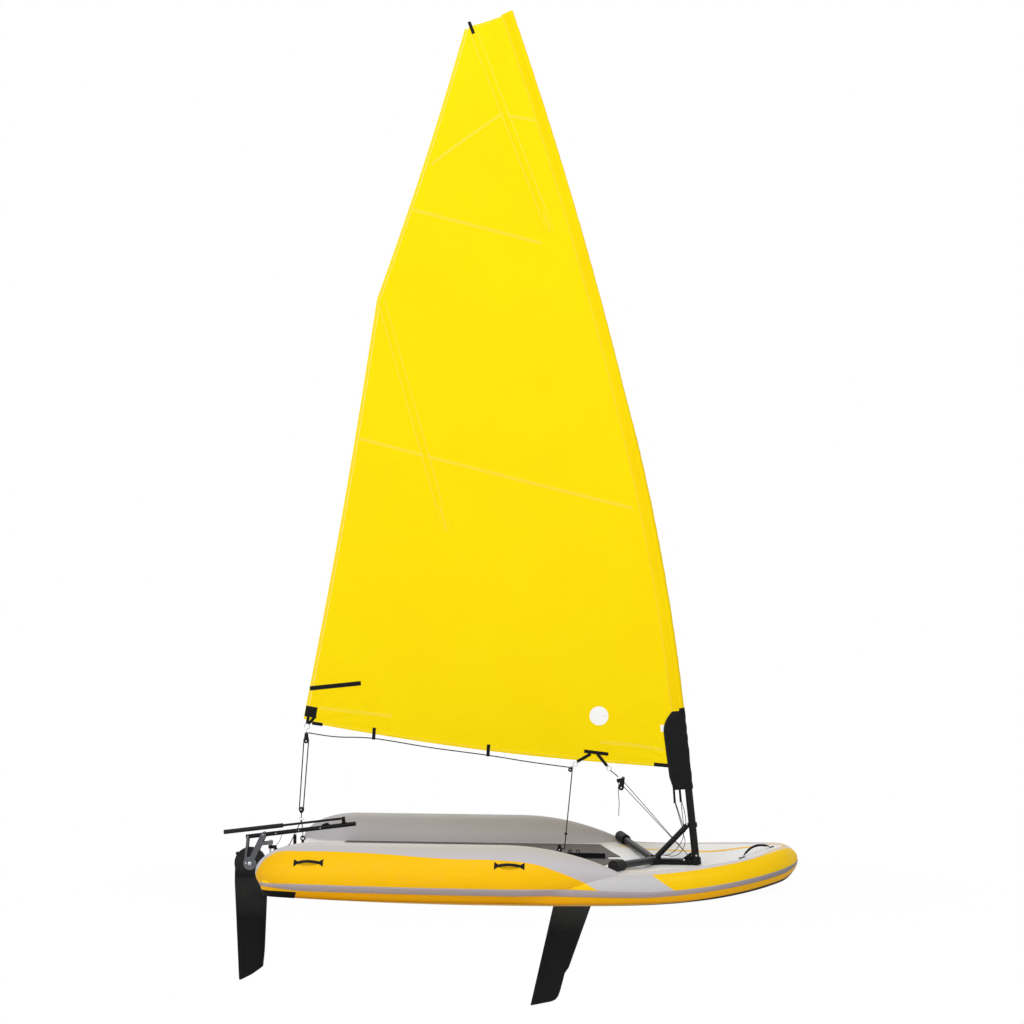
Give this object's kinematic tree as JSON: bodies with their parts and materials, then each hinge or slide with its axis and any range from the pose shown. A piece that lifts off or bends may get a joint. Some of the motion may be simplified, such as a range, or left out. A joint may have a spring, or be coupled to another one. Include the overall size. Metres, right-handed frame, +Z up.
{
  "type": "inflatable sailing dinghy",
  "caption": "Inflatable two-person sailing dinghy afloat: board hull with side tubes, curved sleeve-luff mast and boomless sail, leaning daggerboard and lifting rudder with tiller extension.",
  "frame": {"origin": "amidships on the centreline, at the waterline of the boat afloat", "axes": "+X towards the bow, +Y to port, +Z up"},
  "size_m": [3.1092, 1.4118, 5.4415],
  "materials": {
    "board_skin": "coated fabric, satin",
    "tube_skin": "coated fabric, satin",
    "floor_foam": "ribbed foam",
    "strake_rubber": "satin",
    "black_plastic": "satin",
    "webbing": "woven strap",
    "black_alloy": "black anodised",
    "black_rubber": "matt",
    "sailcloth": "woven polyester",
    "tack_cloth": "woven polyester",
    "grey_alloy": "anodised",
    "steel": "satin",
    "foil_composite": "semi gloss",
    "carbon_tube": "semi gloss",
    "grip_foam": "foam"
  },
  "bodies": {
    "hull": {"hull_board": "board_skin", "side_tube_starboard": "tube_skin", "side_tube_port": "tube_skin", "floor_pad_starboard": "floor_foam", "floor_pad_port": "floor_foam", "rubbing_strake": "strake_rubber", "daggerboard_case": "black_plastic", "bow_handle": "webbing", "side_handle_starboard_aft": "webbing", "side_handle_starboard_forward": "webbing", "side_handle_port_aft": "webbing", "side_handle_port_forward": "webbing", "mast_foot_frame": "black_alloy", "frame_arm_starboard": "black_alloy", "frame_arm_port": "black_alloy", "arm_socket_starboard": "black_rubber", "arm_socket_port": "black_rubber", "mast_brace": "black_alloy", "mast_collar": "black_plastic", "stern_bracket": "black_alloy", "stern_post": "black_plastic", "bridle_eye_starboard": "black_plastic", "bridle_eye_port": "black_plastic", "floor_block": "black_plastic"},
    "rig": {"lower_mast": "carbon_tube", "upper_mast": "carbon_tube", "luff_sleeve": "sailcloth", "tack_sleeve": "tack_cloth", "sail": "sailcloth", "clew_fitting": "webbing", "clew_block": "black_plastic", "foot_loops": "webbing", "foot_webbing": "webbing", "foot_block": "black_plastic", "vang_block": "black_plastic", "downhaul_strap": "webbing", "head_tip": "black_plastic"},
    "rudder_stock": {"rudder_head": "grey_alloy", "pintle_pin": "steel", "tiller": "black_alloy"},
    "extension_knuckle": {"tiller_knuckle": "black_rubber"},
    "extension": {"tiller_extension": "carbon_tube", "extension_grip": "grip_foam"},
    "blade": {"rudder_blade": "foil_composite"},
    "daggerboard": {"daggerboard": "foil_composite", "daggerboard_head": "black_plastic"}
  },
  "joints": [
    {"name": "rig_turn", "type": "hinge", "parent": "hull", "child": "rig", "pos_m": [0.866, 0, 0.113], "axis": [-0.0993, 0, 0.9951], "range_deg": [-90, 90]},
    {"name": "rudder_steer", "type": "hinge", "parent": "hull", "child": "rudder_stock", "pos_m": [-1.462, 0, 0.1], "axis": [0, 0, 1], "range_deg": [-38, 38]},
    {"name": "extension_swing", "type": "hinge", "parent": "rudder_stock", "child": "extension_knuckle", "pos_m": [-1.05072, 0, 0.29205], "axis": [-0.1305, 0, 0.9914], "range_deg": [-145, 155]},
    {"name": "extension_lift", "type": "hinge", "parent": "extension_knuckle", "child": "extension", "pos_m": [-1.05542, 0, 0.32774], "axis": [-0.0864, 0.9962, -0.0114], "range_deg": [0, 60]},
    {"name": "rudder_kickup", "type": "hinge", "parent": "rudder_stock", "child": "blade", "pos_m": [-1.573, 0, 0.077], "axis": [0, 1, 0], "range_deg": [0, 95]},
    {"name": "daggerboard_slide", "type": "slide", "parent": "hull", "child": "daggerboard", "axis": [0.284, 0, 0.9588], "range_m": [0, 0.33]}
  ]
}
